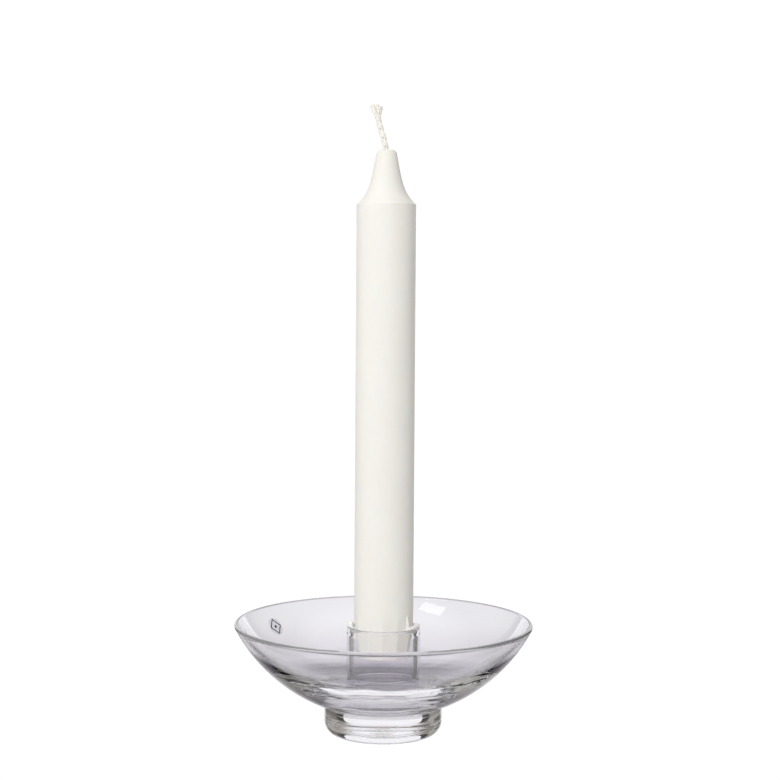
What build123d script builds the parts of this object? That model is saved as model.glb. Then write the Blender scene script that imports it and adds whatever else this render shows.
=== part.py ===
from build123d import *
import os
from math import cos, radians, sin, sqrt

os.makedirs("parts", exist_ok=True)

# Glass candlestick: a thick dish on a solid foot, with a glass tube that holds a fluted dinner candle.
# Millimetres, +Z up. The origin is the middle of the foot's underside.

# ---- dish
rim_radius = 55.2  # outside, where the rounded rim starts
rim_height = 40.1  # of the same place above the table
dish_base = 6.93  # lowest point of the dish's outside, buried in the foot
dish_wall = 1.9  # glass at the rim
dish_floor = 18.0  # inside floor above the table
floor_margin = 4.3  # flat floor left round the tube

# ---- foot
foot_radius = 21.8
foot_rounding = 4.3

# ---- candle
candle_radius = 11.0
candle_length = 185.9  # wax only, tail to tip
candle_seat = 12.4  # tail's end above the dish floor
tail_length = 14.4
tail_flats = 12
tail_radius = 9.2  # across the flats at the end, halved
tail_turn = 28.0  # degrees from +X to the first corner
tail_rounding = 0.7
neck_length = 19.9
neck_root = 10.7  # radius where the neck starts, inside the shoulder's edge
neck_steps = ((0.23, 7.4), (0.46, 5.75), (0.68, 4.8))  # share of the neck's length, radius there
tip_radius = 3.95
tip_rounding = 1.9
shoulder_chamfer = 0.25

# ---- wick
wick_radius = 1.15
wick_free = 17.9  # cotton above the wax, measured upright
wick_lean = 4.0  # how far its end hangs over towards -X
wick_bend = 12.0
tuft_strands = 7
tuft_radius = 0.42
tuft_length = 2.6
tuft_splay = 32.0  # degrees

# ---- tube
bore_clearance = 0.5  # round the candle's full radius
mouth_clearance = 0.05  # at the lip, which is drawn in
tube_wall = 2.25
tube_height = 21.9  # above the dish floor, bond included
foot_end_rounding = 0.8

# ---- bonds and label
bond = 0.12
foot_bond_inset = 0.5
label_radius = 3.6
label_thick = 0.1
label_azimuth = 148.0  # degrees from +X
label_height = 34.0

# ---- wax on the lip
crumb_taper = 18.0  # degrees
curl_height = 5.2
curl_width = 1.1
curl_azimuth = -41.0
curl_depth = 0.75  # sunk into the candle's side
curl_proud = 0.3
curl_gap = 0.2  # above the lip

# ---- worked out
ball_rise = rim_height - dish_base
dish_ball = (rim_radius**2 + ball_rise**2) / (2 * ball_rise)  # the outside is part of a ball of this radius
ball_z = dish_base + dish_ball
rim_sin = rim_radius / dish_ball  # the wall leans out by this at the rim
rim_cos = (ball_z - rim_height) / dish_ball
bore_radius = candle_radius + bore_clearance
mouth_radius = candle_radius + mouth_clearance
tube_radius = bore_radius + tube_wall
tube_top = dish_floor + tube_height
lip_radius = (tube_radius - mouth_radius) / 2
flat_radius = tube_radius + floor_margin
inner_rim = rim_radius - dish_wall * rim_sin
inner_rise = rim_height + dish_wall * rim_cos - dish_floor
inner_arc = ((inner_rim - flat_radius) ** 2 + inner_rise**2) / (2 * inner_rise)
inner_z = dish_floor + inner_arc
candle_base = dish_floor + candle_seat
candle_top = candle_base + candle_length
shoulder_z = candle_top - neck_length


def ball_point(radius, r):
    """Height of a ball of this radius, centred on the dish's own centre, at distance r from the axis."""
    return ball_z - sqrt(radius**2 - r**2)


def inner_point(r, inset=0.0):
    """Height of the dish's inside at distance r from the axis, or of a surface inset above it."""
    return inner_z - sqrt((inner_arc - inset) ** 2 - (r - flat_radius) ** 2)


def arc_between(radius, r0, r1, height):
    """Three points of a section's arc from r0 to r1, with height giving z at each."""
    middle = (r0 + r1) / 2
    return [(r, height(radius, r)) for r in (r0, middle, r1)]


# The dish: a ball outside, an arc that runs out level into a flat floor inside.
with BuildPart() as drip_bowl:
    with BuildSketch(Plane.XZ):
        with BuildLine():
            outside = ThreePointArc(*arc_between(dish_ball, 0, rim_radius, ball_point))
            middle_r = (inner_rim + flat_radius) / 2
            inside = ThreePointArc(
                (inner_rim, inner_point(inner_rim)), (middle_r, inner_point(middle_r)), (flat_radius, dish_floor)
            )
            crest_r = (rim_radius + inner_rim + dish_wall * rim_cos) / 2
            crest_z = (rim_height + inner_point(inner_rim) + dish_wall * rim_sin) / 2
            ThreePointArc(outside @ 1, (crest_r, crest_z), inside @ 0)
            Line(inside @ 1, (0, dish_floor))
            Line((0, dish_floor), outside @ 0)
        make_face()
    revolve(axis=Axis.Z)
drip_bowl.part.label = "drip_bowl"
export_step(drip_bowl.part, "parts/drip_bowl.step")

# The foot: a puck with a dished top that follows the ball, a bond's thickness away.
with BuildPart() as foot:
    with BuildSketch(Plane.XZ):
        with BuildLine():
            seat = ThreePointArc(*arc_between(dish_ball + bond, 0, foot_radius, ball_point))
            Polyline(seat @ 1, (foot_radius, 0), (0, 0), seat @ 0)
        make_face()
    revolve(axis=Axis.Z)
    fillet(foot.edges().filter_by_position(Axis.Z, -0.01, 0.01), foot_rounding)
foot.part.label = "foot"
export_step(foot.part, "parts/foot.step")

# The bond under the dish: a cap of even thickness, a little smaller than the foot.
foot_bond_radius = foot_radius - foot_bond_inset
with BuildPart() as foot_bond:
    with BuildSketch(Plane.XZ):
        with BuildLine():
            upper = ThreePointArc(*arc_between(dish_ball, 0, foot_bond_radius, ball_point))
            lower = ThreePointArc(*arc_between(dish_ball + bond, 0, foot_bond_radius, ball_point))
            Line(upper @ 0, lower @ 0)
            Line(upper @ 1, lower @ 1)
        make_face()
    revolve(axis=Axis.Z)
foot_bond.part.label = "foot_bond"
export_step(foot_bond.part, "parts/foot_bond.step")

# The tube: straight outside, a full-round lip drawn in over the bore, a softened lower end.
lip_z = tube_top - lip_radius
blend = 2 * (bore_radius - mouth_radius)
with BuildPart() as candle_socket:
    with BuildSketch(Plane.XZ):
        with BuildLine():
            tube_bottom = dish_floor + bond
            Line((bore_radius, tube_bottom), (tube_radius, tube_bottom))
            Line((tube_radius, tube_bottom), (tube_radius, lip_z))
            ThreePointArc((tube_radius, lip_z), (tube_radius - lip_radius, tube_top), (mouth_radius, lip_z))
            Line((mouth_radius, lip_z), (bore_radius, lip_z - blend))
            Line((bore_radius, lip_z - blend), (bore_radius, tube_bottom))
        make_face()
    revolve(axis=Axis.Z)
    lower_edges = candle_socket.edges().filter_by_position(Axis.Z, tube_bottom - 0.01, tube_bottom + 0.01)
    fillet(lower_edges, foot_end_rounding)
candle_socket.part.label = "candle_socket"
export_step(candle_socket.part, "parts/candle_socket.step")

# The bond ring under the tube.
with BuildPart() as socket_bond:
    with BuildSketch(Plane.XY.offset(dish_floor)):
        Circle(tube_radius - foot_end_rounding)
        Circle(bore_radius + foot_end_rounding, mode=Mode.SUBTRACT)
    extrude(amount=bond)
socket_bond.part.label = "socket_bond"
export_step(socket_bond.part, "parts/socket_bond.step")

# The sticker: a thin skin on the dish's inside, trimmed round along the wall's own normal.
label_r = flat_radius + sqrt(inner_arc**2 - (inner_z - label_height) ** 2)
label_slope = (label_r - flat_radius) / inner_arc
label_plane = Plane(
    origin=(label_r * cos(radians(label_azimuth)), label_r * sin(radians(label_azimuth)), label_height),
    z_dir=(
        -label_slope * cos(radians(label_azimuth)),
        -label_slope * sin(radians(label_azimuth)),
        sqrt(1 - label_slope**2),
    ),
)
label_reach = 2 * label_radius
with BuildPart() as label:
    with BuildSketch(Plane.XZ):
        with BuildLine():
            span = (label_r - label_reach, label_r, min(label_r + label_reach / 2, inner_rim))
            wall_side = ThreePointArc(*[(r, inner_point(r)) for r in span])
            free_side = ThreePointArc(*[(r, inner_point(r, label_thick)) for r in span])
            Line(wall_side @ 0, free_side @ 0)
            Line(wall_side @ 1, free_side @ 1)
        make_face()
    revolve(axis=Axis.Z)
    with BuildSketch(label_plane.offset(-label_reach)):
        Circle(label_radius)
    extrude(amount=2 * label_reach, mode=Mode.INTERSECT)
label.part.label = "label"
export_step(label.part, "parts/label.step")

# The wax: cylinder with a concave neck and a wick hole right through, cut by flats at its tapered tail.
# The flats touch the cylinder where the tail starts and lean in below it.
tail_lean = (candle_radius - tail_radius) / tail_length
with BuildPart() as candle_body:
    with BuildSketch(Plane.XZ):
        with BuildLine():
            neck = Spline(
                (neck_root, shoulder_z),
                *[(r, shoulder_z + neck_length * share) for share, r in neck_steps],
                (tip_radius, candle_top - tip_rounding),
                tangents=((-0.85, 1), (-0.12, 1)),
            )
            tip_edge = tip_radius - tip_rounding
            RadiusArc(neck @ 1, (tip_edge, candle_top), -tip_rounding)
            Polyline(
                (tip_edge, candle_top),
                (wick_radius, candle_top),
                (wick_radius, candle_base),
                (candle_radius, candle_base),
                (candle_radius, shoulder_z - shoulder_chamfer),
                (candle_radius - shoulder_chamfer, shoulder_z),
                (neck_root, shoulder_z),
            )
        make_face()
    revolve(axis=Axis.Z)
    for index in range(tail_flats):
        azimuth = radians(tail_turn + (index + 0.5) * 360 / tail_flats)
        outward = Vector(cos(azimuth), sin(azimuth), 0)
        flat_plane = Plane(
            origin=outward * tail_radius + Vector(0, 0, candle_base),
            x_dir=(-sin(azimuth), cos(azimuth), 0),
            z_dir=outward + Vector(0, 0, -tail_lean),
        )
        with BuildSketch(flat_plane):
            Rectangle(candle_radius, 2.2 * tail_length)
        extrude(amount=candle_radius / 2, mode=Mode.SUBTRACT)
    tail_edges = candle_body.faces().sort_by(Axis.Z)[0].outer_wire().edges()
    chamfer(tail_edges, tail_rounding)
candle_body.part.label = "candle_body"
export_step(candle_body.part, "parts/candle_body.step")

# The wick: up through the wax, then leaning over towards -X, its end frayed into a tuft.
wick_end = Vector(-wick_lean, 0, candle_top + wick_free - tuft_length)
with BuildPart() as wick:
    with BuildLine():
        FilletPolyline(
            (0, 0, candle_base),
            (0, 0, candle_top + 0.25 * wick_free),
            (-0.78 * wick_lean, 0, candle_top + 0.62 * wick_free),
            tuple(wick_end),
            radius=wick_bend,
        )
    with BuildSketch(Plane.XY.offset(candle_base)):
        Circle(wick_radius)
    sweep()
    for index in range(tuft_strands):
        turn = radians(index * 360 / tuft_strands)
        tilt = radians(tuft_splay)
        strand_root = wick_end + Vector(cos(turn), sin(turn), -1) * (wick_radius - tuft_radius)
        strand_way = (sin(tilt) * cos(turn), sin(tilt) * sin(turn), cos(tilt))
        with BuildSketch(Plane(origin=strand_root, z_dir=strand_way)):
            Circle(tuft_radius)
        extrude(amount=tuft_length)
wick.part.label = "wick"
export_step(wick.part, "parts/wick.step")

# Crumbs scraped off the candle, lying on the lip at both sides: (degrees from +X, size, height).
crumbs = (
    (166, 0.75, 1.1),
    (175, 0.9, 1.5),
    (184, 0.8, 1.1),
    (193, 0.6, 0.7),
    (-47, 0.5, 0.7),
    (-30, 0.75, 1.0),
    (-20, 0.95, 1.3),
    (-8, 0.9, 1.5),
    (4, 0.7, 1.0),
)
crumb_circle = mouth_radius + lip_radius
with BuildPart() as wax_crumbs:
    for azimuth, size, height in crumbs:
        place = (crumb_circle * cos(radians(azimuth)), crumb_circle * sin(radians(azimuth)))
        with BuildSketch(Plane.XY.offset(tube_top)):
            with Locations(place):
                RegularPolygon(radius=size, side_count=5, rotation=3 * azimuth)
        extrude(amount=height, taper=crumb_taper)
wax_crumbs.part.label = "wax_crumbs"
export_step(wax_crumbs.part, "parts/wax_crumbs.step")

# The shaving: a thin blade of wax still joined to the candle's side, its root just above the lip.
curl_turn = radians(curl_azimuth)
curl_out = Vector(cos(curl_turn), sin(curl_turn), 0)
curl_side = Vector(-sin(curl_turn), cos(curl_turn), 0)
curl_root = curl_out * (candle_radius - curl_depth) + Vector(0, 0, tube_top + curl_gap)
with BuildPart() as wax_curl:
    with BuildSketch(Plane(origin=curl_root, x_dir=curl_side, z_dir=curl_out)):
        with BuildLine():
            Polyline(
                (0.5 * curl_width, curl_height),
                (-0.5 * curl_width, 0),
                (0.5 * curl_width, 0),
                (0.5 * curl_width, curl_height),
            )
        make_face()
    extrude(amount=curl_depth + curl_proud)
    add(candle_body.part, mode=Mode.SUBTRACT)
wax_curl.part.label = "wax_curl"
export_step(wax_curl.part, "parts/wax_curl.step")
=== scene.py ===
"""Looks for a glass candlestick and its dinner candle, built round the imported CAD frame.

The glass is re-made as smooth spun shells, the candle with soft flats on its tail, the wick as plaited cotton.
"""

from __future__ import annotations

import logging
import math
from collections.abc import Iterable, Sequence
from dataclasses import dataclass
from enum import Enum

import bmesh
import bpy
from mathutils import Matrix, Vector, noise


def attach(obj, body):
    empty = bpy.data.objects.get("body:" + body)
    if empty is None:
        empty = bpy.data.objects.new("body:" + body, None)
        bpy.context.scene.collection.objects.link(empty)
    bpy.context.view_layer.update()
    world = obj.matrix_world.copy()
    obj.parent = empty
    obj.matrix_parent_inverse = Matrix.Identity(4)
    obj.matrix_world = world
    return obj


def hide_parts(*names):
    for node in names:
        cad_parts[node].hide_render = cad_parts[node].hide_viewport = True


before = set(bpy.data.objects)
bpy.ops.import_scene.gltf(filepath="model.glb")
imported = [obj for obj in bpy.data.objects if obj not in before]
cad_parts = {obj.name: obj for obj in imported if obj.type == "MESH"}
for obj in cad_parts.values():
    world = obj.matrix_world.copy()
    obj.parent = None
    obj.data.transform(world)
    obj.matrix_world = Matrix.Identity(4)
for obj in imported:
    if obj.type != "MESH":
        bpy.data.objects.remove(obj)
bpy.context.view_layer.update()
LOG = logging.getLogger("candlestick")
MM = 0.001
Point = tuple[float, float]
Material = bpy.types.Material
Mesh = bmesh.types.BMesh
Node = bpy.types.Node
Piece = bpy.types.Object
Socket = bpy.types.NodeSocket
Tree = bpy.types.NodeTree
Colour = Socket | tuple[float, ...]
CLEAR: Colour = (1, 1, 1, 1)
DAYLIGHT: Colour = (1.05, 1.05, 1.05, 1)


class Body(str, Enum):
    """The two CAD bodies that pieces ride on."""

    HOLDER = "holder"
    CANDLE = "candle"


class Slot(str, Enum):
    """The record's material slots."""

    GLASS = "clear_glass"
    BOND = "bond_resin"
    LABEL = "label_film"
    WAX = "candle_wax"
    COTTON = "wick_cotton"


# ---------------------------------------------------------------- colours and nodes


def linear(hex_colour: str) -> tuple[float, float, float, float]:
    """Turns an sRGB hex colour into linear RGBA.

    Args:
        hex_colour: Six hex digits, such as "F4F2EE".

    Returns:
        The colour as linear red, green, blue and an alpha of 1.
    """
    parts = [int(hex_colour[i : i + 2], 16) / 255 for i in (0, 2, 4)]
    red, green, blue = (c / 12.92 if c <= 0.04045 else ((c + 0.055) / 1.055) ** 2.4 for c in parts)
    return (red, green, blue, 1.0)


def add_node(tree: Tree, kind: str, settings: dict | None = None, **sockets: object) -> Node:
    """Adds one node with its settings, values and links.

    Args:
        tree: The node tree that gets the node.
        kind: The node's type name without its Shader prefix, such as "TexNoise".
        settings: Attributes to set on the node itself.
        sockets: Input values or output sockets to link, by input name with spaces as underscores.
            An underscore and a digit, such as _1, picks an input by its place.

    Returns:
        The new node.
    """
    node = tree.nodes.new("ShaderNode" + kind)
    for name, value in (settings or {}).items():
        setattr(node, name, value)
    for name, value in sockets.items():
        place = name[1:]
        socket = node.inputs[int(place)] if place.isdigit() else node.inputs[name.replace("_", " ")]
        if isinstance(value, Socket):
            tree.links.new(value, socket)
        else:
            socket.default_value = value
    return node


def blend(tree: Tree, share: Socket, first: Colour, second: Colour) -> Socket:
    """Mixes two colours.

    Args:
        tree: The node tree.
        share: The second colour's share, 0 to 1.
        first: The first colour.
        second: The second colour.

    Returns:
        The mixed colour's socket.
    """
    return add_node(tree, "Mix", {"data_type": "RGBA"}, Factor=share, _6=first, _7=second).outputs[2]


def ranged(
    tree: Tree, value: Socket, low: float, high: float, start: Socket | float = 0.0, end: float = 1.0,
    smooth: bool = False,
) -> Socket:
    """Maps a value from low and high to start and end, and holds it there beyond them.

    Args:
        tree: The node tree.
        value: The value to map.
        low: The value that gives start.
        high: The value that gives end.
        start: The result at low.
        end: The result at high.
        smooth: Whether the change eases in and out.

    Returns:
        The mapped value's socket.
    """
    kind = {"interpolation_type": "SMOOTHSTEP" if smooth else "LINEAR"}
    mapped = add_node(tree, "MapRange", kind, Value=value, From_Min=low, From_Max=high, To_Min=start, To_Max=end)
    return mapped.outputs[0]


def new_material(name: str) -> tuple[Material, Tree]:
    """Makes an empty node material.

    Args:
        name: The material's name.

    Returns:
        The material and its cleared node tree.
    """
    material = bpy.data.materials.new(name)
    material.use_nodes = True
    material.node_tree.nodes.clear()
    return material, material.node_tree


def finish_surface(tree: Tree, shader: Socket) -> None:
    """Links a shader to a new material output.

    Args:
        tree: The material's node tree.
        shader: The shader socket that the surface shows.
    """
    add_node(tree, "OutputMaterial", Surface=shader)


def let_light_in(tree: Tree, shader: Socket) -> Socket:
    """Lets soft light pass straight through thin clear glass, so that what stands in it isn't left dark.

    Args:
        tree: The material's node tree.
        shader: The glass shader.

    Returns:
        The mixed shader socket.
    """
    way = add_node(tree, "LightPath")
    soft = add_node(
        tree, "Math", {"operation": "MAXIMUM"}, _0=way.outputs["Is Shadow Ray"], _1=way.outputs["Is Diffuse Ray"]
    )
    clear = add_node(tree, "BsdfTransparent", Color=CLEAR)
    return add_node(tree, "MixShader", _0=soft.outputs[0], _1=shader, _2=clear.outputs[0]).outputs[0]


def object_noise(tree: Tree, size_mm: float, detail: float = 2.0, stretch: float = 1.0) -> Socket:
    """Adds a noise pattern in object coordinates.

    Args:
        tree: The material's node tree.
        size_mm: The real size of one blotch.
        detail: Octaves of finer noise.
        stretch: How much longer the blotches are along Z than across.

    Returns:
        The noise value's socket.
    """
    coordinates = add_node(tree, "TexCoord")
    mapping = add_node(tree, "Mapping", Vector=coordinates.outputs["Object"], Scale=(1, 1, 1 / stretch))
    pattern = add_node(tree, "TexNoise", Vector=mapping.outputs["Vector"], Scale=1 / (size_mm * MM), Detail=detail)
    return pattern.outputs[0]


# ---------------------------------------------------------------- finishes


@dataclass(frozen=True)
class SodaGlass:
    """Soda-lime glass, fire-polished: mirror smooth, faintly lilac; the thick bottom is painted grey, a painted shade.
    """

    name: str = "soda_lime_glass_fire_polished"
    tint: str = "FBFAFC"
    ior: float = 1.52
    roughness: float = 0.0
    wave_mm: float = 7.0
    wave_depth: float = 0.008
    bottom_painted_shade: str = "A5A3A8"
    painted_shade_base: float = 11.5
    painted_shade_top: float = 22.0
    fade: float = 2.5

    def make(self) -> Material:
        """Builds the glass material."""
        material, tree = new_material(self.name)
        height = add_node(tree, "SeparateXYZ", Vector=add_node(tree, "TexCoord").outputs["Object"]).outputs[2]
        # Painted shade: a band over the thick bottom is tinted grey to stand in for the dark seen through it.
        above = ranged(tree, height, (self.painted_shade_base - 1) * MM, (self.painted_shade_base + 1) * MM)
        top, fade = self.painted_shade_top, self.fade
        within = ranged(tree, height, (top - fade) * MM, (top + fade) * MM, start=above, end=0.0)
        # Backfacing is 1 for light that is already in the glass, so each pass gets the painted shade once, on its way
        # in.
        inside = add_node(tree, "NewGeometry").outputs["Backfacing"]
        going_in = add_node(tree, "Math", {"operation": "SUBTRACT"}, _0=1.0, _1=inside)
        thick = add_node(tree, "Math", {"operation": "MULTIPLY"}, _0=within, _1=going_in.outputs[0])
        tint = blend(tree, thick.outputs[0], linear(self.tint), linear(self.bottom_painted_shade))
        waves = object_noise(tree, self.wave_mm, detail=1.0)
        bump = add_node(tree, "Bump", Strength=self.wave_depth, Distance=0.5 * MM, Height=waves)
        glass = add_node(
            tree,
            "BsdfPrincipled",
            Base_Color=tint,
            Roughness=self.roughness,
            IOR=self.ior,
            Transmission_Weight=1.0,
            Normal=bump.outputs["Normal"],
        )
        finish_surface(tree, let_light_in(tree, glass.outputs[0]))
        return material


@dataclass(frozen=True)
class SoftenedRimPaintedPale:
    """The dish's rim, softened in the flame, with painted light: a pale matt share stands in for the light seen along
    the glass, so it shows a little paler than the rest.
    """

    name: str = "soda_lime_glass_rim_painted_pale"
    tint: str = "EDECEE"
    clearness: float = 0.7
    ior: float = 1.52

    def make(self) -> Material:
        """Builds the rim material."""
        material, tree = new_material(self.name)
        flow = object_noise(tree, 3.5)
        shine = ranged(tree, flow, 0.3, 0.7, 0.02, 0.06)
        bump = add_node(tree, "Bump", Strength=0.03, Distance=0.3 * MM, Height=flow)
        # Painted light: only part of the rim passes light as glass; the rest shows the pale tint as a matt colour.
        rim = add_node(
            tree,
            "BsdfPrincipled",
            Base_Color=linear(self.tint),
            Roughness=shine,
            IOR=self.ior,
            Transmission_Weight=self.clearness,
            Normal=bump.outputs["Normal"],
        )
        finish_surface(tree, let_light_in(tree, rim.outputs[0]))
        return material


@dataclass(frozen=True)
class JoinedFace:
    """A glass face wetted by the bond: the same index on both sides, so nothing shows there."""

    name: str = "glass_wetted_by_bond"

    def make(self) -> Material:
        """Builds the clear interface material."""
        material, tree = new_material(self.name)
        clear = add_node(tree, "BsdfTransparent", Color=CLEAR)
        finish_surface(tree, clear.outputs[0])
        return material


@dataclass(frozen=True)
class BondResin:
    """UV-cured acrylate: clear, a trace yellower than the glass."""

    name: str = "acrylate_bond_uv_cured"
    tint: str = "F4F2EC"
    ior: float = 1.5

    def make(self) -> Material:
        """Builds the resin's edge material."""
        material, tree = new_material(self.name)
        beads = object_noise(tree, 1.2)
        bump = add_node(tree, "Bump", Strength=0.3, Distance=0.1 * MM, Height=beads)
        resin = add_node(
            tree,
            "BsdfPrincipled",
            Base_Color=linear(self.tint),
            Roughness=0.08,
            IOR=self.ior,
            Transmission_Weight=1.0,
            Normal=bump.outputs["Normal"],
        )
        finish_surface(tree, resin.outputs[0])
        return material


@dataclass(frozen=True)
class CandleWax:
    """Paraffin and stearin, drawn and milled: milky, light sinks in a little, satin skin with fine draw marks."""

    name: str = "paraffin_stearin_wax_drawn"
    lit: str = "FAF8F3"
    shade: str = "F5F2EB"
    skin_mm: float = 2.4
    depth_mm: float = 1.4

    def make(self) -> Material:
        """Builds the wax material."""
        material, tree = new_material(self.name)
        cloud = object_noise(tree, 9.0, detail=3.0, stretch=3.0)
        colour = blend(tree, cloud, linear(self.lit), linear(self.shade))
        draw = object_noise(tree, self.skin_mm, detail=4.0, stretch=14.0)
        grain = object_noise(tree, 0.5, detail=2.0)
        skin = add_node(tree, "Bump", Strength=0.12, Distance=0.12 * MM, Height=draw)
        fine = add_node(
            tree, "Bump", Strength=0.06, Distance=0.05 * MM, Height=grain, Normal=skin.outputs["Normal"]
        )
        shine = ranged(tree, draw, 0.3, 0.7, 0.42, 0.55)
        wax = add_node(
            tree,
            "BsdfPrincipled",
            {"subsurface_method": "RANDOM_WALK"},
            Base_Color=colour,
            Roughness=shine,
            IOR=1.44,
            Subsurface_Weight=0.35,
            Subsurface_Radius=(1.0, 0.8, 0.55),
            Subsurface_Scale=self.depth_mm * MM,
            Normal=fine.outputs["Normal"],
        )
        finish_surface(tree, wax.outputs[0])
        return material


@dataclass(frozen=True)
class CottonYarn:
    """Bleached cotton yarn, plaited and lightly waxed: cream, soft, fibres along each strand."""

    name: str = "cotton_yarn_plaited"
    light: str = "FCF9F2"
    dark: str = "F0EADF"

    def make(self) -> Material:
        """Builds the cotton material."""
        material, tree = new_material(self.name)
        fibres = object_noise(tree, 0.7, detail=2.0, stretch=10.0)
        shade = ranged(tree, fibres, 0.2, 0.5)
        colour = blend(tree, shade, linear(self.dark), linear(self.light))
        bump = add_node(tree, "Bump", Strength=0.1, Distance=0.05 * MM, Height=fibres)
        cotton = add_node(
            tree,
            "BsdfPrincipled",
            Base_Color=colour,
            Roughness=0.85,
            Sheen_Weight=0.3,
            Sheen_Roughness=0.5,
            Normal=bump.outputs["Normal"],
        )
        finish_surface(tree, cotton.outputs[0])
        return material


@dataclass(frozen=True)
class LabelFilm:
    """Clear polyester film with a pressure-sensitive back: almost unseen, a trace of haze."""

    name: str = "polyester_film_clear"

    def make(self) -> Material:
        """Builds the film material."""
        material, tree = new_material(self.name)
        haze = object_noise(tree, 0.8)
        shine = ranged(tree, haze, 0.3, 0.7, 0.05, 0.2)
        gloss = add_node(tree, "BsdfGlossy", Color=CLEAR, Roughness=shine)
        clear = add_node(tree, "BsdfTransparent", Color=linear("F6F6F8"))
        film = add_node(tree, "MixShader", _0=0.04, _1=clear.outputs[0], _2=gloss.outputs[0])
        finish_surface(tree, film.outputs[0])
        return material


@dataclass(frozen=True)
class LabelInk:
    """Screen-printed ink, near black, with slightly broken cover."""

    name: str = "screen_ink_dark"
    thick: str = "26262B"
    thin: str = "4A4A50"

    def make(self) -> Material:
        """Builds the ink material."""
        material, tree = new_material(self.name)
        cover = object_noise(tree, 0.4, detail=3.0)
        colour = blend(tree, cover, linear(self.thick), linear(self.thin))
        ink = add_node(tree, "BsdfPrincipled", Base_Color=colour, Roughness=0.45)
        finish_surface(tree, ink.outputs[0])
        return material


# ---------------------------------------------------------------- mesh helpers


def arc(centre: Point, radius: float, start: float, end: float, steps: int) -> list[Point]:
    """Points along a circular arc in the section plane.

    Args:
        centre: The arc's centre as (r, z).
        radius: Its radius.
        start: Angle of the first point from the +r axis, in degrees.
        end: Angle of the last point.
        steps: Number of chords.

    Returns:
        The points from start to end.
    """
    turns = [math.radians(start + (end - start) * i / steps) for i in range(steps + 1)]
    return [(centre[0] + radius * math.cos(t), centre[1] + radius * math.sin(t)) for t in turns]


def straight(start: Point, end: Point, steps: int) -> list[Point]:
    """Evenly spaced points on a straight line.

    Args:
        start: First point.
        end: Last point.
        steps: Number of pieces.

    Returns:
        The points from start to end.
    """
    return [
        (start[0] + (end[0] - start[0]) * i / steps, start[1] + (end[1] - start[1]) * i / steps)
        for i in range(steps + 1)
    ]


def joined(*runs: Iterable[Point]) -> list[Point]:
    """Joins runs of points, dropping a point that repeats the one before it.

    Args:
        runs: The runs in order.

    Returns:
        One list of points.
    """
    points: list[Point] = []
    for run in runs:
        for point in run:
            if not points or math.dist(points[-1], point) > 1e-4:
                points.append(point)
    return points


def eased(table: Sequence[Point], at: float) -> float:
    """Reads a smooth curve through a short table.

    Args:
        table: (place, value) pairs in rising order of place.
        at: The place to read.

    Returns:
        The value there, by cubic steps between the pairs.
    """
    last = len(table) - 1
    i = next((n for n in range(last) if at <= table[n + 1][0]), last - 1)
    (x1, y1), (x2, y2) = table[i], table[i + 1]
    x0, y0 = table[max(i - 1, 0)]
    x3, y3 = table[min(i + 2, last)]
    span = x2 - x1
    t = min(max((at - x1) / span, 0.0), 1.0)
    slope1 = (y2 - y0) / (x2 - x0) * span
    slope2 = (y3 - y1) / (x3 - x1) * span
    early = (2 * t**3 - 3 * t * t + 1) * y1 + (t**3 - 2 * t * t + t) * slope1
    return early + (3 * t * t - 2 * t**3) * y2 + (t**3 - t * t) * slope2


def spun(profile: Sequence[Point], segments: int) -> Mesh:
    """Spins a section in millimetres about the Z axis into a closed shell in metres.

    Args:
        profile: (r, z) points. A profile that starts and ends off the axis is closed into a ring.
        segments: Steps round the axis.

    Returns:
        The spun mesh, seams merged and normals outward.
    """
    shell = bmesh.new()
    verts = [shell.verts.new((r * MM, 0, z * MM)) for r, z in profile]
    edges = [shell.edges.new(pair) for pair in zip(verts, verts[1:])]
    if profile[0][0] > 1e-6:
        edges.append(shell.edges.new((verts[-1], verts[0])))
    turn = 2 * math.pi
    bmesh.ops.spin(
        shell, geom=verts + edges, cent=(0, 0, 0), axis=(0, 0, 1), angle=turn, steps=segments, use_merge=True
    )
    bmesh.ops.remove_doubles(shell, verts=shell.verts, dist=1e-7)
    bmesh.ops.dissolve_degenerate(shell, edges=shell.edges, dist=1e-8)
    bmesh.ops.recalc_face_normals(shell, faces=shell.faces)
    return shell


def finished(
    shell: Mesh,
    name: str,
    materials: Sequence[Material],
    sharp_degrees: float = 40.0,
) -> Piece:
    """Turns a bmesh into a shown object with smooth faces and sharp corners.

    Args:
        shell: The mesh, in metres in the CAD frame. It is freed.
        name: The object's name.
        materials: Its materials in slot order.
        sharp_degrees: Edges that turn more than this stay sharp.

    Returns:
        The new object.
    """
    mesh = bpy.data.meshes.new(name)
    shell.to_mesh(mesh)
    shell.free()
    mesh.polygons.foreach_set("use_smooth", [True] * len(mesh.polygons))
    mesh.set_sharp_from_angle(angle=math.radians(sharp_degrees))
    for material in materials:
        mesh.materials.append(material)
    piece = bpy.data.objects.new(name, mesh)
    bpy.context.scene.collection.objects.link(piece)
    return piece


def placed(piece: Piece, body: Body, slot: Slot, *nodes: str) -> Piece:
    """Rides a piece on its body and lets it stand for CAD nodes.

    Args:
        piece: The piece, already in place.
        body: The body it moves with.
        slot: The record's material slot; not used.
        nodes: CAD nodes it replaces.

    Returns:
        The same piece.
    """
    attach(piece, body.value)
    if nodes:
        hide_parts(*nodes)
    LOG.info("%s: %d faces on %s", piece.name, len(getattr(piece.data, "polygons", [])), body.value)
    return piece


def wavered(point: Vector, size_mm: float, seed: float) -> float:
    """Smooth repeatable noise at a place.

    Args:
        point: A place in metres.
        size_mm: The size of one wave.
        seed: Picks another pattern.

    Returns:
        A value from about -1 to 1.
    """
    return noise.noise(point / (size_mm * MM) + Vector((seed, seed * 1.7, -seed)))


# ---------------------------------------------------------------- the glass


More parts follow.
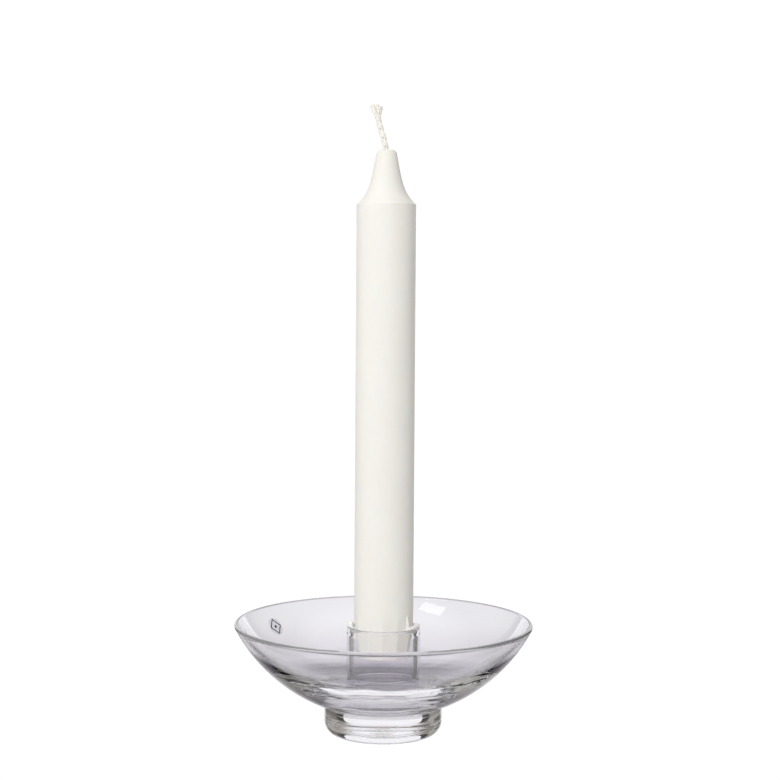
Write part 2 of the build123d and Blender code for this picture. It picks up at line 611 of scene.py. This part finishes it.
@dataclass
class GlassDish:
    """The thick dish, its foot and the bond between them. Sizes in millimetres."""

    glass: Material
    clear: Material
    resin: Material
    rim: Material
    rim_radius: float = 55.2
    rim_height: float = 40.1
    base: float = 6.93
    wall: float = 1.9
    floor: float = 18.0
    flat_radius: float = 18.05
    foot_radius: float = 21.8
    foot_rounding: float = 4.8
    bond: float = 0.12
    bond_inset: float = 0.5
    segments: int = 224
    ripple: float = 0.05
    ripple_pitch: float = 4.3
    swell: float = 0.16
    still_height: float = 30.0
    still_fade: float = 8.0
    tube_clear: float = 14.6
    outer_wave: float = 0.06
    foot_lip: float = 0.3
    foot_wave: float = 0.004

    def __post_init__(self) -> None:
        """Works out the ball outside and the arc inside."""
        rise = self.rim_height - self.base
        self.ball = (self.rim_radius**2 + rise**2) / (2 * rise)
        self.ball_z = self.base + self.ball
        self.lean = math.asin(self.rim_radius / self.ball)
        self.inner_rim = self.rim_radius - self.wall * math.sin(self.lean)
        self.inner_top = self.rim_height + self.wall * math.cos(self.lean)
        inner_rise = self.inner_top - self.floor
        self.inner_arc = ((self.inner_rim - self.flat_radius) ** 2 + inner_rise**2) / (2 * inner_rise)
        self.inner_z = self.floor + self.inner_arc
        self.joint_radius = self.foot_radius - self.bond_inset

    def inside_height(self, r: float) -> float:
        """Height of the inside at distance r from the axis."""
        if r <= self.flat_radius:
            return self.floor
        return self.inner_z - math.sqrt(self.inner_arc**2 - (r - self.flat_radius) ** 2)

    def ball_run(self, radius: float, r0: float, r1: float, steps: int) -> list[Point]:
        """Points on a ball round the dish's own centre, from r0 to r1 off the axis.

        Args:
            radius: The ball's radius.
            r0: Distance from the axis at the start.
            r1: Distance at the end.
            steps: Number of chords.

        Returns:
            The points.
        """
        start, end = (math.degrees(math.asin(r / radius)) - 90 for r in (r0, r1))
        return arc((0.0, self.ball_z), radius, start, end, steps)

    def build_dish(self) -> Piece:
        """Builds the dish: ball outside, round rim, rippled inside."""
        lean = math.degrees(self.lean)
        rim_centre = ((self.rim_radius + self.inner_rim) / 2, (self.rim_height + self.inner_top) / 2)
        inner_lean = math.degrees(math.asin((self.inner_rim - self.flat_radius) / self.inner_arc))
        profile = joined(
            self.ball_run(self.ball, 0.0, self.joint_radius, 20),
            self.ball_run(self.ball, self.joint_radius, self.rim_radius, 70),
            arc(rim_centre, self.wall / 2, lean - 90, lean + 90, 14),
            arc((self.flat_radius, self.inner_z), self.inner_arc, inner_lean - 90, -90, 80),
            straight((self.flat_radius, self.floor), (0.0, self.floor), 22),
        )
        shell = spun(profile, self.segments)
        seat = (self.joint_radius + 0.01) * MM
        for face in shell.faces:
            middle = face.calc_center_median()
            if middle.z < (self.floor - 2) * MM and math.hypot(middle.x, middle.y) < seat:
                face.material_index = 1
            elif middle.z > (self.rim_height - 0.3) * MM:
                out = (face.normal.x * middle.x + face.normal.y * middle.y) / math.hypot(middle.x, middle.y)
                if out * math.cos(self.lean) + face.normal.z * math.sin(self.lean) > 0.5:
                    # Slot 2 is the rim finish, whose pale matt share is painted light.
                    face.material_index = 2
        for vert in shell.verts:
            r = math.hypot(vert.co.x, vert.co.y) / MM
            z = vert.co.z / MM
            if z > self.rim_height - 1 or (z < self.floor - 2 and r < self.foot_radius + 1):
                continue
            fade = min(1.0, max(0.0, (self.still_height - z) / self.still_fade))
            inner = z > self.inside_height(r) - 0.5
            if inner and r > self.tube_clear:
                fade *= min(1.0, (r - self.tube_clear) / 3)
                azimuth = math.atan2(vert.co.y, vert.co.x)
                drift = 2.2 * wavered(Vector((math.cos(azimuth), math.sin(azimuth), r / 30)), 700, 5.2)
                wave = math.sin(2 * math.pi * r / self.ripple_pitch + drift)
                vert.co.z += fade * self.ripple * MM * wave * (0.6 + wavered(vert.co, 8, 9.4))
                vert.co.z += fade * self.swell * MM * wavered(vert.co, 6.5, 3.1)
            elif not inner:
                vert.co += vert.co.normalized() * fade * self.outer_wave * MM * wavered(vert.co, 12, 7.7)
        piece = finished(shell, "drip_bowl_glass", (self.glass, self.clear, self.rim))
        return placed(piece, Body.HOLDER, Slot.GLASS, "drip_bowl")

    def build_foot(self) -> Piece:
        """Builds the foot: a puck with a dished top and a heavily rounded lower edge."""
        seat_ball = self.ball + self.bond
        edge_z = self.ball_z - math.sqrt(seat_ball**2 - self.foot_radius**2)
        lip = self.foot_lip
        flat = self.foot_radius - self.foot_rounding
        profile = joined(
            straight((0.0, 0.0), (flat, 0.0), 10),
            arc((flat, self.foot_rounding), self.foot_rounding, -90, 0, 24),
            straight((self.foot_radius, self.foot_rounding), (self.foot_radius, edge_z - lip), 16),
            arc((self.foot_radius - lip, edge_z - lip), lip, 0, 60, 5),
            self.ball_run(seat_ball, self.foot_radius - lip, self.joint_radius, 3),
            self.ball_run(seat_ball, self.joint_radius, 0.0, 20),
        )
        shell = spun(profile, self.segments)
        for face in shell.faces:
            middle = face.calc_center_median()
            if face.normal.z > 0.5 and math.hypot(middle.x, middle.y) < self.joint_radius * MM:
                face.material_index = 1
        for vert in shell.verts:
            r = math.hypot(vert.co.x, vert.co.y) / MM
            if r > flat and 0.5 < vert.co.z / MM < edge_z - 1.2:
                out = Vector((vert.co.x, vert.co.y, 0)).normalized()
                vert.co += out * self.foot_wave * MM * wavered(vert.co, 9, 1.3)
        piece = finished(shell, "foot_glass", (self.glass, self.clear))
        return placed(piece, Body.HOLDER, Slot.GLASS, "foot")

    def build_bond(self) -> Piece:
        """Builds the bond under the dish, whose two sides vanish against the glass."""
        lower = self.ball_run(self.ball + self.bond, 0.0, self.joint_radius, 20)
        upper = self.ball_run(self.ball, self.joint_radius, 0.0, 20)
        shell = spun(joined(lower, upper), self.segments)
        for face in shell.faces:
            face.material_index = 1 if abs(face.normal.z) > 0.6 else 0
        piece = finished(shell, "foot_bond_resin", (self.resin, self.clear))
        return placed(piece, Body.HOLDER, Slot.BOND, "foot_bond")


@dataclass
class SocketTube:
    """The glass tube and the bond ring under it. Sizes in millimetres."""

    glass: Material
    clear: Material
    resin: Material
    rim: Material
    bore: float = 11.5
    mouth: float = 11.05
    radius: float = 13.75
    floor: float = 18.0
    height: float = 21.9
    bond: float = 0.12
    end_rounding: float = 0.8
    draw_in: float = 2.4
    segments: int = 160

    def build_tube(self) -> Piece:
        """Builds the tube with its drawn-in, full-round lip."""
        top = self.floor + self.height
        bottom = self.floor + self.bond
        lip = (self.radius - self.mouth) / 2
        lip_z = top - lip
        rounding = self.end_rounding
        steps = 12
        widening = self.bore - self.mouth
        drawn = [
            (self.mouth + widening * (0.5 - 0.5 * math.cos(math.pi * i / steps)), lip_z - self.draw_in * i / steps)
            for i in range(steps + 1)
        ]
        profile = joined(
            straight((self.bore + rounding, bottom), (self.radius - rounding, bottom), 4),
            arc((self.radius - rounding, bottom + rounding), rounding, -90, 0, 8),
            straight((self.radius, bottom + rounding), (self.radius, lip_z), 36),
            arc((self.mouth + lip, lip_z), lip, 0, 180, 24),
            drawn,
            straight((self.bore, lip_z - self.draw_in), (self.bore, bottom + rounding), 32),
            arc((self.bore + rounding, bottom + rounding), rounding, 180, 270, 8),
        )
        shell = spun(profile, self.segments)
        for face in shell.faces:
            if face.normal.z < -0.9:
                face.material_index = 1
            if face.calc_center_median().z > (lip_z + 0.2 * lip) * MM:
                # Slot 2 is the rim finish, whose pale matt share is painted light.
                face.material_index = 2
        piece = finished(shell, "candle_socket_glass", (self.glass, self.clear, self.rim), sharp_degrees=60)
        return placed(piece, Body.HOLDER, Slot.GLASS, "candle_socket")

    def build_bond(self) -> Piece:
        """Builds the bond ring under the tube."""
        inner = self.bore + self.end_rounding
        outer = self.radius - self.end_rounding
        low, high = self.floor, self.floor + self.bond
        profile = [(inner, low), (outer, low), (outer, high), (inner, high)]
        shell = spun(profile, self.segments)
        for face in shell.faces:
            face.material_index = 1 if abs(face.normal.z) > 0.6 else 0
        piece = finished(shell, "socket_bond_resin", (self.resin, self.clear))
        return placed(piece, Body.HOLDER, Slot.BOND, "socket_bond")


# ---------------------------------------------------------------- the candle


@dataclass
class DinnerCandle:
    """The candle's wax: shaft, hollow neck and faceted tail. Sizes in millimetres."""

    wax: Material
    radius: float = 11.0
    base: float = 30.4
    length: float = 185.9
    tail: float = 14.4
    tail_radius: float = 9.2
    flats: int = 12
    tail_turn: float = 28.0
    neck: float = 19.9
    tip_rounding: float = 1.8
    flare: tuple[Point, ...] = (
        (0.0, 10.75), (0.7, 10.05), (1.5, 9.35), (2.9, 8.3), (4.4, 7.42),
        (7.4, 6.2), (10.4, 5.38), (13.4, 4.76), (16.3, 4.25), (18.1, 3.85),
    )
    wick_radius: float = 1.15
    segments: int = 192
    foot_rounding: float = 0.9
    shoulder_rounding: float = 0.25

    @property
    def top(self) -> float:
        """Height of the wax's tip."""
        return self.base + self.length

    @property
    def shoulder(self) -> float:
        """Height where the neck starts."""
        return self.top - self.neck

    def tail_flat(self, azimuth: float, z: float) -> float:
        """Distance to the tail's surface at an azimuth and height, with soft corners between flats."""
        apothem = self.tail_radius + (self.radius - self.tail_radius) * (z - self.base) / self.tail
        step = 2 * math.pi / self.flats
        turn = azimuth - math.radians(self.tail_turn)
        off = (turn % step) - step / 2
        corner = apothem / math.cos(off)
        gap = self.radius - corner
        soft = 0.08
        return self.radius - soft * math.log1p(math.exp(gap / soft)) if gap < 4 else corner

    def build_wax(self) -> Piece:
        """Builds the wax: hollow-flared neck, straight shaft, softly faceted tail."""
        rise = self.neck - self.tip_rounding
        neck = [(eased(self.flare, rise * i / 48), self.shoulder + rise * i / 48) for i in range(49)]
        start = neck[-1]
        tip = arc((start[0] - self.tip_rounding, start[1]), self.tip_rounding, 0, 90, 12)
        edge, foot = self.shoulder_rounding, self.foot_rounding
        limit = self.base + self.tail + 2
        profile = joined(
            straight((self.wick_radius, self.base), (self.radius - foot, self.base), 8),
            arc((self.radius - foot, self.base + foot), foot, -90, 0, 6),
            straight((self.radius, self.base + foot), (self.radius, limit), 44),
            straight((self.radius, limit), (self.radius, self.shoulder - edge), 60),
            arc((self.radius - edge, self.shoulder - edge), edge, 0, 80, 4),
            neck,
            tip,
            straight((start[0] - self.tip_rounding, self.top), (self.wick_radius, self.top), 4),
            straight((self.wick_radius, self.top), (self.wick_radius, self.base), 40),
        )
        shell = spun(profile, self.segments)
        for vert in shell.verts:
            r = math.hypot(vert.co.x, vert.co.y) / MM
            z = vert.co.z / MM
            if z < limit and r > self.wick_radius + 0.5:
                share = min(1.0, self.tail_flat(math.atan2(vert.co.y, vert.co.x), z) / self.radius)
                vert.co.x *= share
                vert.co.y *= share
        piece = finished(shell, "candle_wax", (self.wax,), sharp_degrees=35)
        return placed(piece, Body.CANDLE, Slot.WAX, "candle_body")


@dataclass
class StickerPrint:
    """The print on the little round sticker: a diamond outline round a dot. Sizes in millimetres."""

    dish: GlassDish
    ink: Material
    azimuth: float = 148.0
    height: float = 34.0
    lift: float = 0.13
    half_wide: float = 3.25
    half_tall: float = 3.4
    line: float = 0.42
    dot: float = 0.62
    thickness: float = 0.03

    def on_wall(self, across: float, up: float) -> Vector:
        """Puts a point of the flat print on the dish's inside.

        Args:
            across: Distance round the wall from the sticker's middle.
            up: Distance up the wall's slope.

        Returns:
            The place in metres.
        """
        dish = self.dish
        arc_radius = dish.inner_arc - self.lift
        middle_r = dish.flat_radius + math.sqrt(dish.inner_arc**2 - (dish.inner_z - self.height) ** 2)
        turn = math.asin((middle_r - dish.flat_radius) / dish.inner_arc) + up / arc_radius
        r = dish.flat_radius + arc_radius * math.sin(turn)
        z = dish.inner_z - arc_radius * math.cos(turn)
        azimuth = math.radians(self.azimuth) - across / middle_r
        return Vector((r * math.cos(azimuth), r * math.sin(azimuth), z)) * MM

    def diamond(self, shell: Mesh, inset: float) -> list[bmesh.types.BMEdge]:
        """Draws one diamond as a closed run of short edges.

        Args:
            shell: The mesh that gets it.
            inset: How far its sides lie inside the outline.

        Returns:
            Its edges.
        """
        wide = self.half_wide - inset * 1.55
        tall = self.half_tall - inset * 1.55
        corners = [(wide, 0.0), (0.0, tall), (-wide, 0.0), (0.0, -tall)]
        steps = 8
        points = [
            (a[0] + (b[0] - a[0]) * i / steps, a[1] + (b[1] - a[1]) * i / steps)
            for a, b in zip(corners, corners[1:] + corners[:1])
            for i in range(steps)
        ]
        verts = [shell.verts.new((x, y, 0)) for x, y in points]
        return [shell.edges.new((verts[i - 1], verts[i])) for i in range(len(verts))]

    def build(self) -> Piece:
        """Builds the printed diamond and dot, laid on the curved wall."""
        shell = bmesh.new()
        edges = self.diamond(shell, 0.0) + self.diamond(shell, self.line)
        bmesh.ops.bridge_loops(shell, edges=edges)
        bmesh.ops.create_circle(shell, cap_ends=True, cap_tris=True, segments=24, radius=self.dot)
        for vert in shell.verts:
            vert.co = self.on_wall(vert.co.x, vert.co.y)
        bmesh.ops.recalc_face_normals(shell, faces=shell.faces)
        bmesh.ops.solidify(shell, geom=shell.faces[:], thickness=self.thickness * MM)
        bmesh.ops.recalc_face_normals(shell, faces=shell.faces)
        piece = finished(shell, "sticker_print", (self.ink,))
        return placed(piece, Body.HOLDER, Slot.LABEL)


@dataclass
class WaxScraps:
    """Wax scraped off by the lip: lumps lying on it, and a shaving still joined to the candle. Millimetres."""

    wax: Material
    lip_circle: float = 12.4
    lip_top: float = 39.9
    lumps: tuple[tuple[float, float, float], ...] = (
        (158, 0.6, 0.6), (166, 0.85, 1.0), (175, 0.95, 1.4), (184, 0.9, 1.0), (193, 0.7, 0.7), (202, 0.5, 0.5),
        (-47, 0.55, 0.6), (-39, 0.75, 0.8), (-31, 0.85, 1.0), (-22, 0.95, 1.25), (-14, 1.05, 1.4), (-6, 1.0, 1.4),
        (3, 0.9, 1.0), (11, 0.7, 0.7),
    )
    blade_azimuth: float = -41.0
    blade_radius: float = 10.9
    blade_foot: float = 40.1
    blade_height: float = 5.044
    blade_thickness: float = 0.22

    def build_lumps(self) -> Piece:
        """Builds the lumps: rough little balls, flattened where they lie on the lip."""
        shell = bmesh.new()
        for azimuth, size, height in self.lumps:
            turn = math.radians(azimuth)
            place = Vector((math.cos(turn), math.sin(turn), 0)) * self.lip_circle * MM
            place.z = (self.lip_top + height * 0.32) * MM
            made = bmesh.ops.create_icosphere(shell, subdivisions=4, radius=MM)
            for vert in made["verts"]:
                rough = 1 + 0.35 * noise.noise(vert.co * 900 + Vector((azimuth, 0, 0)))
                rough += 0.16 * noise.noise(vert.co * 2600 + Vector((0, azimuth, 0)))
                vert.co = place + Vector((vert.co.x * size, vert.co.y * size, vert.co.z * height * 0.62)) * rough
                vert.co.z = max(vert.co.z, (self.lip_top - 0.12) * MM)
        bmesh.ops.remove_doubles(shell, verts=shell.verts, dist=1e-7)
        bmesh.ops.recalc_face_normals(shell, faces=shell.faces)
        piece = finished(shell, "wax_crumbs_scraped", (self.wax,), sharp_degrees=75)
        return placed(piece, Body.HOLDER, Slot.WAX, "wax_crumbs")

    def build_shaving(self) -> Piece:
        """Builds the shaving: a thin blade of wax that stands out from the candle's side."""
        shell = bmesh.new()
        grid = bmesh.ops.create_grid(shell, x_segments=4, y_segments=22, size=0.5)
        turn = math.radians(self.blade_azimuth)
        along = Vector((math.cos(turn + 0.4), math.sin(turn + 0.4), 0))
        for vert in grid["verts"]:
            share = vert.co.y + 0.5
            across = (vert.co.x + 0.3) * (1.3 * (1 - share) ** 0.7 + 0.14)
            out = self.blade_radius + 0.3 * math.sin(share * 2.6)
            root = Vector((math.cos(turn), math.sin(turn), 0)) * out
            z = self.blade_foot + self.blade_height * share
            vert.co = (root + along * across + Vector((0, 0, z))) * MM
        bmesh.ops.recalc_face_normals(shell, faces=shell.faces)
        bmesh.ops.solidify(shell, geom=shell.faces[:], thickness=self.blade_thickness * MM)
        bmesh.ops.recalc_face_normals(shell, faces=shell.faces)
        piece = finished(shell, "wax_shaving", (self.wax,), sharp_degrees=50)
        return placed(piece, Body.CANDLE, Slot.WAX, "wax_curl")


@dataclass
class PlaitedWick:
    """The cotton wick: a straight core in the wax, a three-strand plait above it, a frayed end. Millimetres."""

    cotton: Material
    base: float = 30.4
    wax_top: float = 216.3
    lean: tuple[Point, ...] = (
        (209.0, 0.0), (214.3, -0.1), (217.3, -0.5), (220.6, -1.25), (224.1, -2.35), (227.5, -3.25), (230.5, -3.9),
    )
    strand: float = 0.63
    plait_wide: float = 0.55
    plait_deep: float = 0.38
    pitch: float = 9.6
    core_radius: float = 1.1
    plait_top: float = 229.6
    brush: int = 16
    brush_low: float = 225.6
    brush_top: float = 233.0

    def centre(self, z: float) -> Vector:
        """Middle of the wick at a height."""
        return Vector((eased(self.lean, z), 0, z))

    def add_strand(
        self, shell: Mesh, points: Sequence[Vector], radii: Sequence[float], sides: int = 8
    ) -> None:
        """Adds one round strand along a run of points.

        Args:
            shell: The mesh that gets it.
            points: The strand's middle line, in millimetres.
            radii: Its radius at each point.
            sides: Corners of its section.
        """
        before: list[bmesh.types.BMVert] = []
        for index, (point, radius) in enumerate(zip(points, radii)):
            ahead = points[min(index + 1, len(points) - 1)] - points[max(index - 1, 0)]
            turn = ahead.to_track_quat("Z", "Y").to_matrix().to_4x4()
            place = Matrix.Translation(point * MM) @ turn
            last = index in (0, len(points) - 1)
            made = bmesh.ops.create_circle(shell, cap_ends=last, segments=sides, radius=radius * MM, matrix=place)
            ring = made["verts"]
            if before:
                for i in range(sides):
                    shell.faces.new((before[i - 1], before[i], ring[i], ring[i - 1]))
            before = ring

    def build(self) -> Piece:
        """Builds the core, the plait and the frayed end."""
        shell = bmesh.new()
        core = [Vector((0, 0, self.base + (self.wax_top - 6 - self.base) * i / 6)) for i in range(7)]
        self.add_strand(shell, core, [self.core_radius] * 7, sides=24)
        low, high = self.lean[0][0], self.plait_top
        steps = 150
        for index in range(3):
            points = []
            for step in range(steps + 1):
                z = low + (high - low) * step / steps
                phase = 2 * math.pi * ((z - low) / self.pitch + index / 3)
                middle = self.centre(z)
                middle.x += self.plait_wide * math.sin(phase)
                middle.y += self.plait_deep * math.sin(2 * phase)
                points.append(middle)
            radii = [self.strand * (1 + 0.04 * math.sin(step * 0.9 + index)) for step in range(steps + 1)]
            self.add_strand(shell, points, radii, sides=14)
        for index in range(self.brush):
            share = (index + 0.5) / self.brush
            front = math.cos(index * 2.4)
            root = self.centre(self.brush_low + 1.6 * abs(front)) + Vector((0.8 * (share - 0.5), 0.55 * front, 0))
            top = self.brush_top - 0.75 * abs(2 * share - 0.9) ** 2 - 0.35 * (0.5 + 0.5 * math.sin(index * 1.7))
            tip = Vector((-6.35 + 4.75 * share, 1.15 * front, top))
            bulge = Vector((0.25 * math.sin(index * 3.1), 0.3 * front, 0))
            points = [
                root.lerp(tip, t) + (self.centre(227.6) - root.lerp(tip, 0.45)) * 0.55 * math.sin(math.pi * t) ** 2
                + bulge * math.sin(math.pi * t)
                for t in (i / 10 for i in range(11))
            ]
            thick = 0.36 + 0.05 * math.sin(index * 2.2)
            self.add_strand(shell, points, [thick] * 8 + [thick * 1.08, thick * 1.05, thick * 0.7], sides=8)
        bmesh.ops.remove_doubles(shell, verts=shell.verts, dist=1e-7)
        bmesh.ops.recalc_face_normals(shell, faces=shell.faces)
        piece = finished(shell, "wick_plait", (self.cotton,), sharp_degrees=70)
        return placed(piece, Body.CANDLE, Slot.COTTON, "wick")


# ---------------------------------------------------------------- the stage


@dataclass
class Studio:
    """Pale floor, soft lights and the camera. Sizes in metres."""

    distance: float = 0.631
    height: float = 0.165
    lens: float = 78.8
    pitch: float = 2.0
    roll: float = 0.38
    aim_x: float = 0.0017
    shift_y: float = -0.053
    sheet_degrees: float = 30.5
    flag_degrees: float = 40.0
    flag: str = "34332F"
    sheet_top: str = "A9A7AC"
    room_left: str = "AAA8A2"
    room_right: str = "76746C"
    fill_right: str = "74726C"
    under: str = "DDDBDF"
    dim_near: float = 0.05
    dim_far: float = 0.22

    def build_camera(self) -> None:
        """Sets the camera level with the candle's lower half, looking slightly down."""
        data = bpy.data.cameras.new("camera")
        data.lens = self.lens
        data.sensor_width = 36.0
        data.clip_start = 0.01
        data.shift_y = self.shift_y
        camera = bpy.data.objects.new("camera", data)
        turn = Matrix.Rotation(math.radians(90 - self.pitch), 4, "X") @ Matrix.Rotation(math.radians(self.roll), 4, "Z")
        camera.matrix_world = Matrix.Translation((self.aim_x, -self.distance, self.height)) @ turn
        bpy.context.scene.collection.objects.link(camera)
        bpy.context.scene.camera = camera

    def within(
        self, tree: Tree, place: Node, degrees: float, soft: float
    ) -> Socket:
        """Tells whether a direction lies within some degrees of straight behind the object.

        Args:
            tree: The node tree.
            place: A SeparateXYZ node holding the direction from the object.
            degrees: Half the width of the band.
            soft: Half the width of its soft edge, in degrees.

        Returns:
            A socket that is 1 inside the band and 0 outside.
        """
        side = add_node(tree, "Math", {"operation": "ARCTAN2"}, _0=place.outputs[0], _1=place.outputs[1])
        off = add_node(tree, "Math", {"operation": "ABSOLUTE"}, _0=side.outputs[0])
        inner, outer = math.radians(degrees - soft), math.radians(degrees + soft)
        return ranged(tree, off.outputs[0], inner, outer, start=1.0, end=0.0, smooth=True)

    def behind(
        self,
        tree: Tree,
        place: Node,
        room: Socket,
        sheet: Colour,
    ) -> Socket:
        """Lays the white sheet between two black flags over the room's colour.

        Args:
            tree: The node tree.
            place: A SeparateXYZ node holding the direction from the object.
            room: The room's colour.
            sheet: The sheet's colour.

        Returns:
            The colour socket.
        """
        flags = blend(tree, self.within(tree, place, self.flag_degrees, 3.0), room, linear(self.flag))
        return blend(tree, self.within(tree, place, self.sheet_degrees, 0.6), flags, sheet)

    def room_colour(self, tree: Tree, place: Node) -> Socket:
        """The room beside the sheet: greyer behind on the right and in front on the left.

        Args:
            tree: The node tree.
            place: A SeparateXYZ node holding the direction from the object.

        Returns:
            The colour socket.
        """
        corner = add_node(tree, "Math", {"operation": "MULTIPLY"}, _0=place.outputs[0], _1=place.outputs[1])
        hand = ranged(tree, corner.outputs[0], -0.3, 0.3, smooth=True)
        return blend(tree, hand, linear(self.room_left), linear(self.room_right))

    def build_floor(self) -> None:
        """Lays a large pale floor that glows like a light table and is dimmer close to the object."""
        material, tree = new_material("pale_floor")
        way = add_node(tree, "TexCoord")
        place = add_node(tree, "SeparateXYZ", Vector=way.outputs["Object"])
        reach = add_node(tree, "VectorMath", {"operation": "LENGTH"}, _0=way.outputs["Object"])
        away = ranged(tree, reach.outputs["Value"], self.dim_near, self.dim_far, smooth=True)
        unit = add_node(tree, "VectorMath", {"operation": "NORMALIZE"}, _0=way.outputs["Object"])
        heading = add_node(tree, "SeparateXYZ", Vector=unit.outputs["Vector"])
        far = self.behind(tree, place, self.room_colour(tree, heading), (0.9, 0.895, 0.915, 1))
        seen = add_node(tree, "LightPath")
        shown = blend(tree, seen.outputs["Is Camera Ray"], far, DAYLIGHT)
        glow = add_node(tree, "Emission", Color=shown)
        polished = add_node(tree, "BsdfGlossy", Color=linear(self.under), Roughness=0.06)
        reach_glow = add_node(tree, "Math", {"operation": "MAXIMUM"}, _0=away, _1=seen.outputs["Is Camera Ray"])
        light = add_node(tree, "MixShader", _0=reach_glow.outputs[0], _1=polished.outputs[0], _2=glow.outputs[0])
        matt = add_node(tree, "BsdfPrincipled", Base_Color=linear("E6E6E8"), Roughness=0.6)
        mixed = add_node(
            tree, "MixShader", _0=seen.outputs["Is Diffuse Ray"], _1=light.outputs[0], _2=matt.outputs[0]
        )
        finish_surface(tree, mixed.outputs[0])
        shell = bmesh.new()
        bmesh.ops.create_grid(shell, x_segments=8, y_segments=8, size=3.0)
        floor = finished(shell, "floor", (material,))
        floor.location.z = -0.0001

    def build_world(self) -> None:
        """Surrounds the object with a soft studio: a wide white sheet behind, grey room elsewhere, light above."""
        world = bpy.data.worlds.new("studio")
        world.use_nodes = True
        tree = world.node_tree
        tree.nodes.clear()
        way = add_node(tree, "TexCoord")
        place = add_node(tree, "SeparateXYZ", Vector=way.outputs["Generated"])
        across, up = place.outputs[0], place.outputs[2]
        high = ranged(tree, up, 0.34, 0.56, smooth=True)
        sheet = blend(tree, high, (1.0, 0.995, 1.015, 1), linear(self.sheet_top))
        level = self.behind(tree, place, self.room_colour(tree, place), sheet)
        lit = blend(tree, ranged(tree, up, 0.62, 0.85, smooth=True), level, (1.0, 1.0, 1.02, 1))
        seen = add_node(tree, "LightPath")
        fall = ranged(tree, across, -0.5, 0.5, smooth=True)
        beside = blend(tree, fall, linear(self.room_left), linear(self.fill_right))
        back = blend(tree, self.within(tree, place, self.sheet_degrees, 4.0), beside, CLEAR)
        over = ranged(tree, up, 0.45, 0.8, smooth=True)
        soft = blend(tree, over, back, (0.97, 0.97, 0.97, 1))
        drawn = blend(tree, seen.outputs["Is Diffuse Ray"], lit, soft)
        shown = blend(tree, seen.outputs["Is Camera Ray"], drawn, DAYLIGHT)
        light = add_node(tree, "Background", Color=shown, Strength=1.0)
        add_node(tree, "OutputWorld", Surface=light.outputs[0])
        bpy.context.scene.world = world

    def build_light(
        self, name: str, place: Vector, aim: Vector, size: tuple[float, float], power: float, mirrored: bool
    ) -> None:
        """Adds one rectangular soft light.

        Args:
            name: The light's name.
            place: Where it hangs.
            aim: The point it faces.
            size: Width and height.
            power: Watts.
            mirrored: Whether it only shows in polished surfaces, or only lights matt ones.
        """
        data = bpy.data.lights.new(name, "AREA")
        data.shape = "RECTANGLE"
        data.size, data.size_y = size
        data.energy = power
        light = bpy.data.objects.new(name, data)
        light.matrix_world = Matrix.Translation(place) @ (aim - place).to_track_quat("-Z", "Y").to_matrix().to_4x4()
        light.visible_diffuse = not mirrored
        light.visible_glossy = mirrored
        light.visible_transmission = False
        bpy.context.scene.collection.objects.link(light)

    def build(self) -> None:
        """Builds the camera, floor, surroundings and lights."""
        scene = bpy.context.scene
        scene.view_settings.view_transform = "Standard"
        scene.cycles.max_bounces = 32
        scene.cycles.transmission_bounces = 32
        scene.cycles.transparent_max_bounces = 48
        scene.cycles.glossy_bounces = 16
        self.build_camera()
        self.build_floor()
        self.build_world()
        self.build_light("key_front_left", Vector((-0.49, -1.21, 0.7)), Vector((0, 0, 0.1)), (0.6, 0.9), 8.9, False)
        self.build_light("window_left", Vector((-1.03, -0.8, 1.39)), Vector((0, 0, 0.04)), (0.6, 0.32), 1.9, True)


def main() -> None:
    """Builds every piece in order and lets it ride on its body."""
    logging.basicConfig(level=logging.INFO, format="%(name)s %(message)s")
    glass = SodaGlass().make()
    clear = JoinedFace().make()
    resin = BondResin().make()
    wax = CandleWax().make()
    cotton = CottonYarn().make()
    rim = SoftenedRimPaintedPale().make()
    dish = GlassDish(glass=glass, clear=clear, resin=resin, rim=rim)
    dish.build_dish()
    dish.build_foot()
    dish.build_bond()
    tube = SocketTube(glass=glass, clear=clear, resin=resin, rim=rim)
    tube.build_tube()
    tube.build_bond()
    DinnerCandle(wax).build_wax()
    scraps = WaxScraps(wax)
    scraps.build_lumps()
    scraps.build_shaving()
    PlaitedWick(cotton).build()
    film = LabelFilm().make()
    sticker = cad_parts["label"].data
    sticker.materials.clear()
    sticker.materials.append(film)
    StickerPrint(dish, LabelInk().make()).build()
    Studio().build()


if __name__ == "__main__":
    main()
